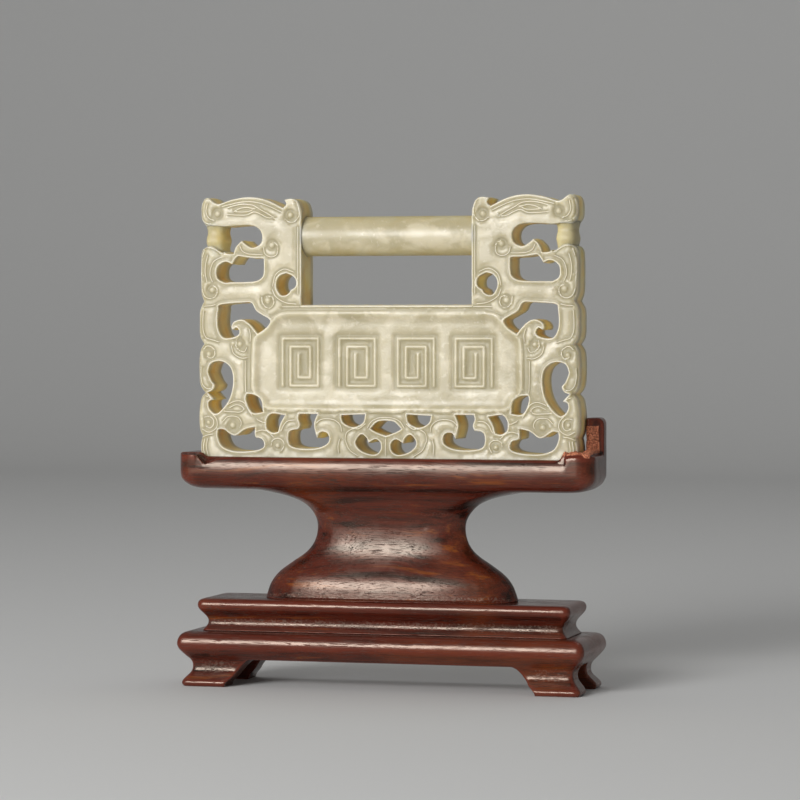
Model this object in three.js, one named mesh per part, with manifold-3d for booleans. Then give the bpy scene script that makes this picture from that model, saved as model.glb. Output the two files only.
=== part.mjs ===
import * as THREE from "three";
import { mergeVertices } from "three/addons/utils/BufferGeometryUtils.js";
import Module from "manifold-3d";

const wasm = await Module();
wasm.setup();

// A pierced jade plaque standing in the groove of a small hardwood stand.
// Millimetres. X runs along the plaque, -Y is its front, +Z is up and the feet stand on Z = 0.

// Jade plaque
const plaqueWidth = 76.4;
const plaqueHeight = 52.4;
const plaqueThickness = 8.6;
const windowWidth = 34.2;
const bodyHeight = 31.3;
const barRadius = 3.85;
const barHeight = 44.7;
const panelDepth = 0.5;
const bridgeDepth = 1.5;

// Base, lower tier
const lowerWidth = 81.2;
const lowerDepth = 22.8;
const lowerHeight = 10.7;
const lowerCorner = 1.2;
const lowerCove = 2.6;
const apronHeight = 5.3;
const frontFootWidth = 9.7;
const frontBracketReach = 4.6;
const endFootWidth = 6.6;
const endBracketReach = 2;

// Base, upper tier
const upperWidth = 74.6;
const upperDepth = 16.8;
const upperThickness = 6.3;
const upperCorner = 1.1;
const upperCove = 1.8;

// Cradle block: stem, tray and the tenon under it
const stemHeight = 21.3;
const stemFootHalfWidth = 25.4;
const stemFootHalfDepth = 6.4;
const stemWaistHalfWidth = 14.9;
const stemWaistHalfDepth = 3.9;
const stemFlareHalfWidth = 28;
const stemRoundness = 0.92;
const trayThickness = 6.4;
const trayWallY = 3.1;
const trayWallX = 3.1;
const trayCorner = 3.2;
const trayUnderRoundX = 3.4;
const trayUnderRoundY = 1.9;
const trayUnderRoundZ = 3.2;
const rimRound = 1;
const rimDrop = 2.4;
const grooveDepth = 1.7;
const endRise = 0.8;
const endBlockLength = 5.4;
const tallLipHeight = 9.6;
const tallLipFront = 0.6;
const tallLipSlant = 2.2;
const tallLipRound = 1.4;
const tallLipUnder = 2;
const breakDepth = 0.5;
const tenonWidth = 28;
const tenonThickness = 7;
const tenonIntoLower = 3.4;

// Pegs between the two tiers
const pegRadius = 1.3;
const pegFromEnd = 12.4;
const pegIntoUpper = 3.6;
const pegIntoLower = 3.6;

// Clearances
const grooveClearance = 0.3;
const joineryClearance = 0.15;

const stepsPerSpan = 3;
const cornerSteps = 5;

const lowerTop = lowerHeight;
const upperTop = lowerTop + upperThickness;
const trayBottom = upperTop + stemHeight;
const rimTop = trayBottom + trayThickness;
const grooveFloor = rimTop - grooveDepth;
const grooveHalfX = plaqueWidth / 2 + grooveClearance;
const grooveHalfY = plaqueThickness / 2 + grooveClearance;
const trayHalfX = grooveHalfX + trayWallX;
const trayHalfY = grooveHalfY + trayWallY;
const pegX = lowerWidth / 2 - pegFromEnd;

const jade = new THREE.MeshStandardMaterial({ color: 0xcfc8a8, roughness: 0.38, metalness: 0 });
const redwood = new THREE.MeshStandardMaterial({ color: 0x4a1a12, roughness: 0.35, metalness: 0 });
const pegWood = new THREE.MeshStandardMaterial({ color: 0xa8824e, roughness: 0.6, metalness: 0 });

function solidOf(geometry) {
  geometry.deleteAttribute("normal");
  geometry.deleteAttribute("uv");
  const merged = mergeVertices(geometry, 1e-4);
  const mesh = new wasm.Mesh({
    numProp: 3,
    vertProperties: new Float32Array(merged.attributes.position.array),
    triVerts: new Uint32Array(merged.index.array),
  });
  return new wasm.Manifold(mesh);
}

function meshOf(solid, name, material) {
  const { vertProperties, triVerts } = solid.getMesh();
  const geometry = new THREE.BufferGeometry();
  geometry.setAttribute("position", new THREE.BufferAttribute(new Float32Array(vertProperties), 3));
  geometry.setIndex(new THREE.BufferAttribute(new Uint32Array(triVerts), 1));
  geometry.computeVertexNormals();
  const mesh = new THREE.Mesh(geometry, material);
  mesh.name = name;
  return mesh;
}

function box(x0, x1, y0, y1, z0, z1) {
  const geometry = new THREE.BoxGeometry(x1 - x0, y1 - y0, z1 - z0);
  geometry.translate((x0 + x1) / 2, (y0 + y1) / 2, (z0 + z1) / 2);
  return solidOf(geometry);
}

// A cylinder along Z.
function post(x, y, z0, z1, radius) {
  const geometry = new THREE.CylinderGeometry(radius, radius, z1 - z0, 24);
  geometry.rotateX(Math.PI / 2);
  geometry.translate(x, y, (z0 + z1) / 2);
  return solidOf(geometry);
}

// An outline in X and Z, pushed through in Y from y0 to y1.
function throughY(shape, y0, y1) {
  const depth = y1 - y0;
  const geometry = new THREE.ExtrudeGeometry(shape, { depth, bevelEnabled: false, curveSegments: 8 });
  geometry.rotateX(Math.PI / 2);
  geometry.translate(0, y1, 0);
  return solidOf(geometry);
}

// An outline in Y and Z, pushed through in X from x0 to x1.
function throughX(shape, x0, x1) {
  const depth = x1 - x0;
  const geometry = new THREE.ExtrudeGeometry(shape, { depth, bevelEnabled: false, curveSegments: 8 });
  geometry.rotateX(Math.PI / 2);
  geometry.rotateZ(Math.PI / 2);
  geometry.translate(x0, 0, 0);
  return solidOf(geometry);
}

function roundedRectangle(x0, x1, z0, z1, radius) {
  const shape = new THREE.Shape();
  shape.moveTo(x0 + radius, z0);
  shape.lineTo(x1 - radius, z0);
  shape.absarc(x1 - radius, z0 + radius, radius, -Math.PI / 2, 0);
  shape.lineTo(x1, z1 - radius);
  shape.absarc(x1 - radius, z1 - radius, radius, 0, Math.PI / 2);
  shape.lineTo(x0 + radius, z1);
  shape.absarc(x0 + radius, z1 - radius, radius, Math.PI / 2, Math.PI);
  shape.lineTo(x0, z0 + radius);
  shape.absarc(x0 + radius, z0 + radius, radius, Math.PI, 1.5 * Math.PI);
  return shape;
}

// A closed solid through level rounded rectangles, each { z, halfX, halfY, corner }, lowest first.
function loft(levels) {
  const positions = [];
  const index = [];
  const around = 4 * (cornerSteps + 1);
  for (const { z, halfX, halfY, corner } of levels) {
    for (let quarter = 0; quarter < 4; quarter++) {
      const signX = quarter === 0 || quarter === 3 ? 1 : -1;
      const signY = quarter < 2 ? 1 : -1;
      for (let step = 0; step <= cornerSteps; step++) {
        const angle = (quarter + step / cornerSteps) * (Math.PI / 2);
        const x = signX * (halfX - corner) + corner * Math.cos(angle);
        const y = signY * (halfY - corner) + corner * Math.sin(angle);
        positions.push(x, y, z);
      }
    }
  }
  for (let level = 0; level + 1 < levels.length; level++) {
    for (let i = 0; i < around; i++) {
      const a = level * around + i;
      const b = level * around + ((i + 1) % around);
      index.push(a, b, b + around, a, b + around, a + around);
    }
  }
  const last = (levels.length - 1) * around;
  for (let i = 1; i + 1 < around; i++) {
    index.push(0, i + 1, i);
    index.push(last, last + i, last + i + 1);
  }
  const geometry = new THREE.BufferGeometry();
  geometry.setAttribute("position", new THREE.BufferAttribute(new Float32Array(positions), 3));
  geometry.setIndex(index);
  return solidOf(geometry);
}

// A moulded board: a smooth profile of [inset, z] points carried round a rounded rectangle, whose
// corners sharpen a little where the moulding is cut in.
function mouldedBoard(width, depth, corner, profile, count) {
  const curve = new THREE.SplineCurve(profile.map(([inset, z]) => new THREE.Vector2(inset, z)));
  const levels = curve.getPoints(count).map(({ x: inset, y: z }) => ({
    z,
    halfX: width / 2 - inset,
    halfY: depth / 2 - inset,
    corner: corner - inset / 5,
  }));
  return loft(levels);
}

// The carving is drawn as [x, z] points, with x from the plaque's middle and z from its foot.
// Left edge, from the foot up over the scrolled head to the top of the window.
const sideLobes = [
  [[-37.7, 0], [-37.9, 3.6], [-37.6, 5.8]],
  [[-37.6, 5.8], [-38.1, 7.2], [-38.2, 10.2], [-37.8, 13], [-37, 14.1]],
  [[-37, 14.1], [-38, 15.8], [-38.2, 19], [-38, 22.2], [-37.2, 23.7]],
  [[-37.2, 23.7], [-38, 25.2], [-38.1, 28], [-38, 30.4], [-37.2, 32]],
  [[-37.2, 32], [-37.8, 34], [-37.9, 38], [-37.8, 41], [-37.4, 42.2], [-36.7, 42.7]],
  [[-36.7, 42.7], [-37.2, 44.8], [-36.7, 46.8]],
  [[-36.7, 46.8], [-37.6, 48], [-37.7, 50.6], [-37.2, 52], [-36.2, 52.3], [-35, 51.4]],
  [[-35, 51.4], [-33.8, 51.1], [-31.3, 51.9], [-27.7, 52.4], [-24.2, 51.8], [-20.8, 50.2]],
  [[-20.8, 50.2], [-20.1, 50.9], [-20.5, 51.8]],
  [[-20.5, 51.8], [-19, 52], [-17.7, 51.3], [-17.1, 49.6]],
];
const windowCorner = [-17.1, 31.3];

// The drawing's own marks: its half-width and height, its window's edge and its body's top.
const drawnHalf = Math.max(...sideLobes.flat().map(([x]) => -x));
const drawnHeight = Math.max(...sideLobes.flat().map(([, z]) => z));
const drawnWindowHalf = -windowCorner[0];
const drawnBody = windowCorner[1];

// Carries a drawn point to the plaque: the drawing stretches between the marks, as the sizes ask.
function placed([x, z], mirror) {
  const upright = (plaqueWidth - windowWidth) / 2 / (drawnHalf - drawnWindowHalf);
  const beside = windowWidth / 2 + (Math.abs(x) - drawnWindowHalf) * upright;
  const under = (Math.abs(x) * windowWidth) / 2 / drawnWindowHalf;
  const across = Math.sign(x) * (Math.abs(x) > drawnWindowHalf ? beside : under);
  const above = bodyHeight + ((z - drawnBody) * (plaqueHeight - bodyHeight)) / (drawnHeight - drawnBody);
  const below = (z * bodyHeight) / drawnBody;
  return new THREE.Vector2(mirror * across, z > drawnBody ? above : below);
}

// A carved edge: smooth runs of points that meet at sharp corners. Mirror is -1 for the right half.
function carvedEdge(runs, mirror = 1) {
  const points = [];
  for (const run of runs) {
    const curve = new THREE.SplineCurve(run.map((point) => placed(point, mirror)));
    points.push(...curve.getPoints(stepsPerSpan * (run.length - 1)).slice(0, -1));
  }
  return points;
}

// Openings pierced right through the left half.
const piercings = [
  [
    [[-33.2, 46.7], [-27.5, 46.9], [-25.3, 45.7], [-25.2, 43.5], [-27, 42.5], [-28.7, 43.4], [-29.2, 43.9]],
    [[-29.2, 43.9], [-30.4, 42.7], [-30.9, 41.3]],
    [[-30.9, 41.3], [-32.3, 41.4], [-33.2, 42]],
    [[-33.2, 42], [-33.2, 46.7]],
  ],
  [
    [[-24.7, 39.8], [-24.9, 40.4], [-27, 40.5], [-30, 40.9]],
    [[-30, 40.9], [-30.6, 40.3], [-31.2, 39.3]],
    [[-31.2, 39.3], [-32.6, 39.8], [-34.2, 38.8], [-34.3, 36.7], [-33, 35.8]],
    [[-33, 35.8], [-27, 35.9], [-25.1, 36.7], [-24.7, 38], [-24.7, 39.8]],
  ],
  [
    [[-34, 30.6], [-33.6, 31.4], [-29, 31.8], [-27.2, 31.7], [-26.3, 30.2], [-24.9, 29.3], [-23.4, 28.3],
      [-24.2, 26.9], [-26, 25.7]],
    [[-26, 25.7], [-27.5, 27.5], [-29.2, 28.5], [-30.9, 28], [-31.4, 27]],
    [[-31.4, 27], [-31.1, 26.5], [-30.2, 26.9], [-29.7, 25.8], [-31, 25], [-33.1, 25], [-34.1, 26.8],
      [-34.2, 29], [-34, 30.6]],
  ],
  [
    [[-36.2, 18.2], [-35.5, 19.9], [-33.4, 20.3], [-31.5, 19], [-31, 16.4], [-31.6, 13.4], [-33, 11.2],
      [-34.6, 10], [-35.9, 11], [-36, 12.4], [-35, 12.8]],
    [[-35, 12.8], [-35.6, 13.5], [-36.3, 14.2]],
    [[-36.3, 14.2], [-35.3, 14.6], [-34.8, 15.6], [-35.5, 16.5], [-36.2, 18.2]],
  ],
  [
    [[-28.2, 13.9], [-26.8, 13.8], [-25.3, 12.8], [-24.9, 10.4]],
    [[-24.9, 10.4], [-26.8, 10.2], [-27.8, 11.2], [-28.4, 13], [-28.2, 13.9]],
  ],
  [
    [[-34.1, 6.9], [-33, 7], [-31.5, 6], [-30.3, 5.8], [-28.6, 7], [-26.5, 7.5]],
    [[-26.5, 7.5], [-26.5, 5.6], [-25.1, 5.1], [-24.7, 3.7], [-26.5, 2.9], [-30.5, 2.7], [-33.2, 3.6],
      [-34.2, 5.6], [-34.1, 6.9]],
  ],
  [
    [[-24.2, 8.8], [-23.2, 10.1], [-20.4, 9.8]],
    [[-20.4, 9.8], [-21.3, 8.3], [-21.8, 6.6]],
    [[-21.8, 6.6], [-22.9, 6.4], [-24.1, 7.2], [-24.2, 8.8]],
  ],
  [
    [[-17.5, 10.1], [-13.8, 10.1]],
    [[-13.8, 10.1], [-14.5, 8.1], [-13.9, 5.4]],
    [[-13.9, 5.4], [-13.2, 6.6], [-11.7, 6.3], [-11.6, 4.6], [-13.8, 3.5], [-17.5, 3.4], [-19.5, 4.2],
      [-19.5, 6.6], [-17.7, 7.1]],
    [[-17.7, 7.1], [-17.3, 8], [-17.7, 9.2], [-17.5, 10.1]],
  ],
  [
    [[-9, 9.9], [-4.2, 10.1]],
    [[-4.2, 10.1], [-4.6, 8.5], [-6.6, 7.6], [-8.6, 8.5], [-9, 9.9]],
  ],
  [
    [[-3.5, 4.5], [-3.9, 5.6], [-5, 6.2], [-6.1, 4.6], [-4.9, 3], [-2.4, 2.3], [-1.1, 3.2], [-1.1, 4.6],
      [-2.1, 5.3], [-3.5, 4.5]],
  ],
  [
    [[-20, 37.5], [-18.5, 36.7], [-18.1, 35.6], [-18.4, 34.7], [-19.2, 34.3]],
    [[-19.2, 34.3], [-19.5, 33.7], [-20.3, 33.2], [-21.3, 33.3], [-22.1, 34.6], [-22.1, 36], [-21.3, 37.1],
      [-20, 37.5]],
  ],
];

// The small arch in the middle of the lower band.
const middleArch = [
  [[-3.1, 7.3], [-1.8, 8.6], [0, 8.9], [1.8, 8.6], [3.1, 7.3]],
  [[3.1, 7.3], [1.8, 6.6], [0, 6]],
  [[0, 6], [-1.8, 6.6], [-3.1, 7.3]],
];

// Left edge of the sunken panel, from its lower edge up: each corner steps in round a scroll.
const panelEdge = [
  [[-22.6, 11.4], [-24.3, 12], [-24.7, 13.2]],
  [[-24.7, 13.2], [-26, 14], [-26.3, 15.4]],
  [[-26.3, 15.4], [-26.3, 23.6]],
  [[-26.3, 23.6], [-25.9, 24.9], [-24.6, 25.7]],
  [[-24.6, 25.7], [-23.2, 26.9], [-22.6, 28.3]],
  [[-22.6, 28.3], [-21.9, 29], [-20.5, 29.1]],
];

// The left edge and its mirror image, as one anticlockwise outline, which lets holes run either way.
function mirroredOutline(left) {
  const right = left.map((point) => new THREE.Vector2(-point.x, point.y)).reverse();
  return new THREE.Shape([...left, ...right].reverse());
}

function plaqueOutline() {
  const [shoulder] = sideLobes[sideLobes.length - 1].slice(-1);
  return mirroredOutline([...carvedEdge(sideLobes), placed(shoulder, 1), placed(windowCorner, 1)]);
}

// Between head and shoulder a bridge of stone is cut back from both faces.
const bridgeEdge = [
  [[-39, 46.8], [-36.7, 46.8], [-35, 46.9], [-32.9, 46.7]],
  [[-32.9, 46.7], [-32.9, 41.4]],
  [[-32.9, 41.4], [-33.7, 41.8], [-34.7, 42.5], [-35.7, 42.9], [-36.7, 42.7], [-39, 42.7]],
  [[-39, 42.7], [-39, 46.8]],
];

function jadePlaque() {
  const outline = plaqueOutline();
  for (const piercing of piercings) {
    outline.holes.push(new THREE.Path(carvedEdge(piercing)));
    outline.holes.push(new THREE.Path(carvedEdge(piercing, -1)));
  }
  outline.holes.push(new THREE.Path(carvedEdge(middleArch)));
  const half = plaqueThickness / 2;
  const slab = throughY(outline, -half, half);

  const bar = new THREE.CylinderGeometry(barRadius, barRadius, windowWidth + 2, 32);
  bar.rotateZ(Math.PI / 2);
  bar.translate(0, 0, barHeight);

  const panel = mirroredOutline(carvedEdge(panelEdge));
  const frontPanel = throughY(panel, -half - 1, -half + panelDepth);
  const backPanel = throughY(panel, half - panelDepth, half + 1);
  let stone = slab.add(solidOf(bar)).subtract(frontPanel).subtract(backPanel);
  for (const side of [1, -1]) {
    const bridge = new THREE.Shape(carvedEdge(bridgeEdge, side));
    stone = stone.subtract(throughY(bridge, -half - 1, -half + bridgeDepth));
    stone = stone.subtract(throughY(bridge, half - bridgeDepth, half + 1));
  }
  const mesh = meshOf(stone, "jade_plaque", jade);
  mesh.position.z = grooveFloor;
  return mesh;
}

// Levels up a spline through [half-size, rise] points, with rise from 0 to 1.
function curveThrough(points) {
  return new THREE.SplineCurve(points.map(([halfSize, rise]) => new THREE.Vector2(halfSize, rise)));
}

// The stem: a domed foot, a long ogee in to the waist and a flare out under the tray. It thins to the
// waist from front to back as well, and its ends are round all the way up.
function stem() {
  const foot = stemFootHalfWidth;
  const waist = stemWaistHalfWidth;
  const taper = foot - waist;
  const flare = stemFlareHalfWidth - waist;
  const width = curveThrough([
    [foot, 0],
    [foot - 0.03 * taper, 0.05],
    [foot - 0.1 * taper, 0.14],
    [foot - 0.25 * taper, 0.235],
    [foot - 0.51 * taper, 0.33],
    [waist + 0.22 * taper, 0.42],
    [waist + 0.06 * taper, 0.52],
    [waist, 0.64],
    [waist + 0.03 * flare, 0.75],
    [waist + 0.17 * flare, 0.86],
    [waist + 0.36 * flare, 0.92],
    [waist + 0.6 * flare, 0.96],
    [stemFlareHalfWidth, 1],
  ]);
  const footDepth = stemFootHalfDepth;
  const waistDepth = stemWaistHalfDepth;
  const thinning = footDepth - waistDepth;
  const spread = trayHalfY - trayUnderRoundY - waistDepth;
  const depth = curveThrough([
    [footDepth, 0],
    [footDepth - 0.03 * thinning, 0.05],
    [footDepth - 0.11 * thinning, 0.12],
    [footDepth - 0.3 * thinning, 0.2],
    [footDepth - 0.5 * thinning, 0.27],
    [footDepth - 0.68 * thinning, 0.33],
    [footDepth - 0.88 * thinning, 0.45],
    [waistDepth, 0.64],
    [waistDepth + 0.12 * spread, 0.78],
    [waistDepth + 0.38 * spread, 0.88],
    [waistDepth + 0.7 * spread, 0.95],
    [waistDepth + spread, 1],
  ]);
  const depthPoints = depth.getPoints(100);
  const levels = [];
  const count = 26;
  for (let i = 0; i <= count; i++) {
    const { x: halfX, y: rise } = width.getPoint(i / count);
    const { x: halfY } = depthPoints.find((point) => point.y >= rise - 0.005);
    levels.push({ z: upperTop + rise * stemHeight, halfX, halfY, corner: stemRoundness * halfY });
  }
  // The top level is sunk into the tray, so that the two make one block.
  levels[count].z = trayBottom + trayUnderRoundZ / 4;
  return loft(levels);
}

// The tray's body: rounded under, straight up its sides and eased at the rim.
function trayBody() {
  const levels = [];
  const steps = 5;
  for (let i = 0; i <= steps; i++) {
    const angle = (i / steps) * (Math.PI / 2);
    levels.push({
      z: trayBottom + trayUnderRoundZ * (1 - Math.cos(angle)),
      halfX: trayHalfX - trayUnderRoundX * (1 - Math.sin(angle)),
      halfY: trayHalfY - trayUnderRoundY * (1 - Math.sin(angle)),
      corner: trayCorner - trayUnderRoundY * (1 - Math.sin(angle)),
    });
  }
  for (let i = 0; i <= steps; i++) {
    const angle = (i / steps) * (Math.PI / 2);
    const inset = rimRound * (1 - Math.cos(angle));
    levels.push({
      z: rimTop - rimDrop * (1 - Math.sin(angle)),
      halfX: trayHalfX - inset,
      halfY: trayHalfY - inset,
      corner: trayCorner - inset,
    });
  }
  return loft(levels);
}

// The rim's two ends stand higher. Their lips are broken off flat, apart from the tall one's back half.
function trayEnds() {
  const top = rimTop + endRise;
  const plan = { halfX: trayHalfX, halfY: trayHalfY, corner: trayCorner };
  const full = loft([
    { z: rimTop - rimDrop, ...plan },
    { z: top, ...plan },
  ]);
  const inner = trayHalfX - endBlockLength;
  const profile = new THREE.Shape();
  profile.moveTo(inner, 0);
  profile.lineTo(trayHalfX + 1, 0);
  profile.lineTo(trayHalfX + 1, top + 1);
  profile.lineTo(inner + endRise + 1, top + 1);
  profile.lineTo(inner, rimTop);
  const right = throughY(profile, -trayHalfY - 1, trayHalfY + 1);
  return full.intersect(right).add(full.intersect(right.rotate([0, 0, 180])));
}

function tallLip() {
  const corner = Math.min(trayCorner, 0.9 * trayWallX);
  const plan = new THREE.Shape();
  const breakLine = (share) => tallLipFront + share * tallLipSlant;
  plan.moveTo(grooveHalfX, breakLine(0));
  plan.lineTo(grooveHalfX + 0.3 * trayWallX, breakLine(0.3) - breakDepth);
  plan.lineTo(grooveHalfX + 0.65 * trayWallX, breakLine(0.65) + breakDepth);
  plan.lineTo(trayHalfX, breakLine(1));
  plan.lineTo(trayHalfX, trayHalfY - corner);
  plan.absarc(trayHalfX - corner, trayHalfY - corner, corner, 0, Math.PI / 2);
  plan.lineTo(grooveHalfX, trayHalfY);
  const height = tallLipHeight + tallLipUnder;
  const lip = new THREE.ExtrudeGeometry(plan, { depth: height, bevelEnabled: false, curveSegments: 6 });
  lip.translate(0, 0, grooveFloor - tallLipUnder);
  const top = grooveFloor + tallLipHeight;
  const roundTop = roundedRectangle(
    grooveHalfX - tallLipRound,
    trayHalfX,
    grooveFloor - 2 * tallLipRound,
    top,
    tallLipRound,
  );
  const roundBack = roundedRectangle(
    tallLipFront - 3 * tallLipRound,
    trayHalfY,
    grooveFloor - 2 * tallLipRound,
    top,
    tallLipRound,
  );
  return solidOf(lip)
    .intersect(throughY(roundTop, -1, trayHalfY + 1))
    .intersect(throughX(roundBack, grooveHalfX - 1, trayHalfX + 1));
}

function cradleBlock() {
  const aboveLip = rimTop + tallLipHeight;
  const groove = box(-grooveHalfX, grooveHalfX, -grooveHalfY, grooveHalfY, grooveFloor, aboveLip);
  const tenon = box(
    -tenonWidth / 2,
    tenonWidth / 2,
    -tenonThickness / 2,
    tenonThickness / 2,
    lowerTop - tenonIntoLower,
    upperTop + 1,
  );
  const block = stem().add(trayBody()).add(trayEnds()).add(tallLip()).add(tenon).subtract(groove);
  return meshOf(block, "cradle_block", redwood);
}

function mortise(z0, z1) {
  const halfX = tenonWidth / 2 + joineryClearance;
  const halfY = tenonThickness / 2 + joineryClearance;
  return box(-halfX, halfX, -halfY, halfY, z0, z1);
}

function pegHole(x, z0, z1) {
  return post(x, 0, z0, z1, pegRadius + joineryClearance);
}

function baseUpperTier() {
  const cove = upperCove;
  const profile = [
    [0.4 * cove, 0],
    [0.83 * cove, 0.14],
    [cove, 0.28],
    [0.83 * cove, 0.43],
    [0.33 * cove, 0.6],
    [0.03 * cove, 0.73],
    [0.03 * cove, 0.86],
    [0.2 * cove, 0.95],
    [0.6 * cove, 1],
  ].map(([inset, rise]) => [inset, lowerTop + rise * upperThickness]);
  const board = mouldedBoard(upperWidth, upperDepth, upperCorner, profile, 18);
  const holeTop = lowerTop + pegIntoUpper + joineryClearance;
  const tier = board
    .subtract(mortise(lowerTop - 1, upperTop + 1))
    .subtract(pegHole(-pegX, lowerTop - 1, holeTop))
    .subtract(pegHole(pegX, lowerTop - 1, holeTop));
  return meshOf(tier, "base_upper_tier", redwood);
}

// The space between two feet: it narrows in an ogee up to the apron's edge.
function footGap(halfAtFloor, halfAtApron) {
  const gap = new THREE.Shape();
  const middle = (halfAtFloor + halfAtApron) / 2;
  gap.moveTo(-halfAtFloor, -1);
  gap.lineTo(halfAtFloor, -1);
  gap.lineTo(halfAtFloor, 0.12 * apronHeight);
  gap.bezierCurveTo(
    middle,
    0.45 * apronHeight,
    middle,
    0.75 * apronHeight,
    halfAtApron,
    apronHeight,
  );
  gap.lineTo(-halfAtApron, apronHeight);
  gap.bezierCurveTo(
    -middle,
    0.75 * apronHeight,
    -middle,
    0.45 * apronHeight,
    -halfAtFloor,
    0.12 * apronHeight,
  );
  return gap;
}

function baseLowerTier() {
  const cove = lowerCove;
  const profile = [
    [0.42 * cove, 0],
    [0.29 * cove, 0.07],
    [0.5 * cove, 0.15],
    [0.88 * cove, 0.25],
    [cove, 0.34],
    [0.92 * cove, 0.46],
    [0.5 * cove, 0.57],
    [0.1 * cove, 0.69],
    [0, 0.79],
    [0.12 * cove, 0.9],
    [0.38 * cove, 0.97],
    [0.77 * cove, 1],
  ].map(([inset, rise]) => [inset, rise * lowerHeight]);
  const board = mouldedBoard(lowerWidth, lowerDepth, lowerCorner, profile, 24);
  const halfX = lowerWidth / 2;
  const halfY = lowerDepth / 2;
  const frontGap = footGap(halfX - frontFootWidth, halfX - frontFootWidth - frontBracketReach);
  const endGap = footGap(halfY - endFootWidth, halfY - endFootWidth - endBracketReach);
  const holeBottom = lowerTop - pegIntoLower - joineryClearance;
  const tier = board
    .subtract(throughY(frontGap, -halfY - 1, halfY + 1))
    .subtract(throughX(endGap, -halfX - 1, halfX + 1))
    .subtract(mortise(lowerTop - tenonIntoLower - joineryClearance, lowerTop + 1))
    .subtract(pegHole(-pegX, holeBottom, lowerTop + 1))
    .subtract(pegHole(pegX, holeBottom, lowerTop + 1));
  return meshOf(tier, "base_lower_tier", redwood);
}

function basePeg(x, name) {
  return meshOf(post(x, 0, lowerTop - pegIntoLower, lowerTop + pegIntoUpper, pegRadius), name, pegWood);
}

const object = new THREE.Group();
object.add(jadePlaque());
object.add(cradleBlock());
object.add(baseUpperTier());
object.add(baseLowerTier());
object.add(basePeg(-pegX, "base_peg_left"));
object.add(basePeg(pegX, "base_peg_right"));

export default object;
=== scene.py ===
import math
from functools import partial
from random import Random

import bmesh
import bpy
import numpy as np
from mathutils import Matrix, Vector
from mathutils.geometry import delaunay_2d_cdt


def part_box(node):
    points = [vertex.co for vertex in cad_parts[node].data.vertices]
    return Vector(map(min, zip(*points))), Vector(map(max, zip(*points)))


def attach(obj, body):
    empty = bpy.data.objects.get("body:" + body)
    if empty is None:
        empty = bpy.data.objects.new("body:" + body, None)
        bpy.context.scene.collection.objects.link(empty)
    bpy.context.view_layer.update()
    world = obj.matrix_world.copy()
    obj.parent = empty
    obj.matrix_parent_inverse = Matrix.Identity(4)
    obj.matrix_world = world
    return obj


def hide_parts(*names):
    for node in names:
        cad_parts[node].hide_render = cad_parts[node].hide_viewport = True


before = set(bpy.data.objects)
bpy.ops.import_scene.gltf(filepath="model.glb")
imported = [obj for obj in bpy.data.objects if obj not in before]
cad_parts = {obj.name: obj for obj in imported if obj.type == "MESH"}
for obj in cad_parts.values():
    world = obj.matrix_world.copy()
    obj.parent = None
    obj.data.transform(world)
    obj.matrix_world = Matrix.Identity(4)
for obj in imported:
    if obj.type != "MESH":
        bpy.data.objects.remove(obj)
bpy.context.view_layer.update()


def placed(name, data):
    """A new object in the scene."""
    added = bpy.data.objects.new(name, data)
    bpy.context.scene.collection.objects.link(added)
    return added


# Camera
# It stands where the photograph was taken: a little to the right of the plaque, level with its middle.
camera_data = bpy.data.cameras.new("camera")
camera_data.lens = 151.2
camera_data.sensor_width = 36
camera_data.clip_start = 0.05
camera = placed("camera", camera_data)
camera.location = (0.1728, -0.6305, 0.0702)
camera.rotation_euler = (math.radians(90 - 1.26), 0, math.radians(15.18))
bpy.context.scene.camera = camera

# Jade plaque: the sawn and pierced slab
# One slab of pale grey-green nephrite. The openings are drilled and then sawn out with a wire and grit,
# and the scrolls between them stand as high as the slab's face. It stands loose in the tray's groove.
mm = 0.001
jade_low, jade_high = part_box("jade_plaque")
half_thickness = jade_high.y / mm
foot_z = jade_low.z / mm
saw_step = 0.38


def welded_copy(node_name):
    """A CAD node's mesh with its split corners merged."""
    welded = bmesh.new()
    welded.from_mesh(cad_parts[node_name].data)
    bmesh.ops.remove_doubles(welded, verts=welded.verts, dist=2e-6)
    return welded


def sawn_outlines(node_name, depth):
    """The closed lines in which a plane across the thickness cuts a CAD node, as x and z in mm."""
    cut = welded_copy(node_name)
    everything = cut.verts[:] + cut.edges[:] + cut.faces[:]
    plane = {"plane_co": (0, depth * mm, 0), "plane_no": (0, 1, 0)}
    bmesh.ops.bisect_plane(cut, geom=everything, dist=1e-7, clear_inner=True, clear_outer=True, **plane)
    unused = dict.fromkeys(cut.edges)
    outlines = []
    while unused:
        edge = unused.popitem()[0]
        line = [edge.verts[0], edge.verts[1]]
        while True:
            onward = [e for e in line[-1].link_edges if e in unused]
            if not onward:
                break
            del unused[onward[0]]
            line.append(onward[0].other_vert(line[-1]))
        if line[0] is line[-1]:
            outlines.append(np.array([(v.co.x / mm, v.co.z / mm) for v in line[:-1]]))
    cut.free()
    return sorted(outlines, key=lambda outline: -np.ptp(outline[:, 0]))


def flowing_line(points, step):
    """Points about every step along a smooth open line through the given ones."""
    points = np.asarray(points, float)
    legs = np.diff(points, axis=0)
    lengths = np.linalg.norm(legs, axis=1)[:, None]
    ways = legs / lengths
    inner = (lengths[:-1] * ways[1:] + lengths[1:] * ways[:-1]) / (lengths[:-1] + lengths[1:])
    slopes = np.vstack([ways[:1], inner, ways[-1:]])
    t = np.arange(8)[:, None] / 8
    fine = []
    for start, leg, length, out, into in zip(points, legs, lengths, slopes, slopes[1:]):
        out, into = out * length, into * length
        fine.append(start + out * t + (3 * leg - 2 * out - into) * t**2 + (out + into - 2 * leg) * t**3)
    fine = np.vstack(fine + [points[-1:]])
    along = np.r_[0, np.cumsum(np.linalg.norm(np.diff(fine, axis=0), axis=1))]
    even = np.linspace(0, along[-1], max(2, round(along[-1] / step) + 1))
    return np.column_stack([np.interp(even, along, fine[:, 0]), np.interp(even, along, fine[:, 1])])


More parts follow.
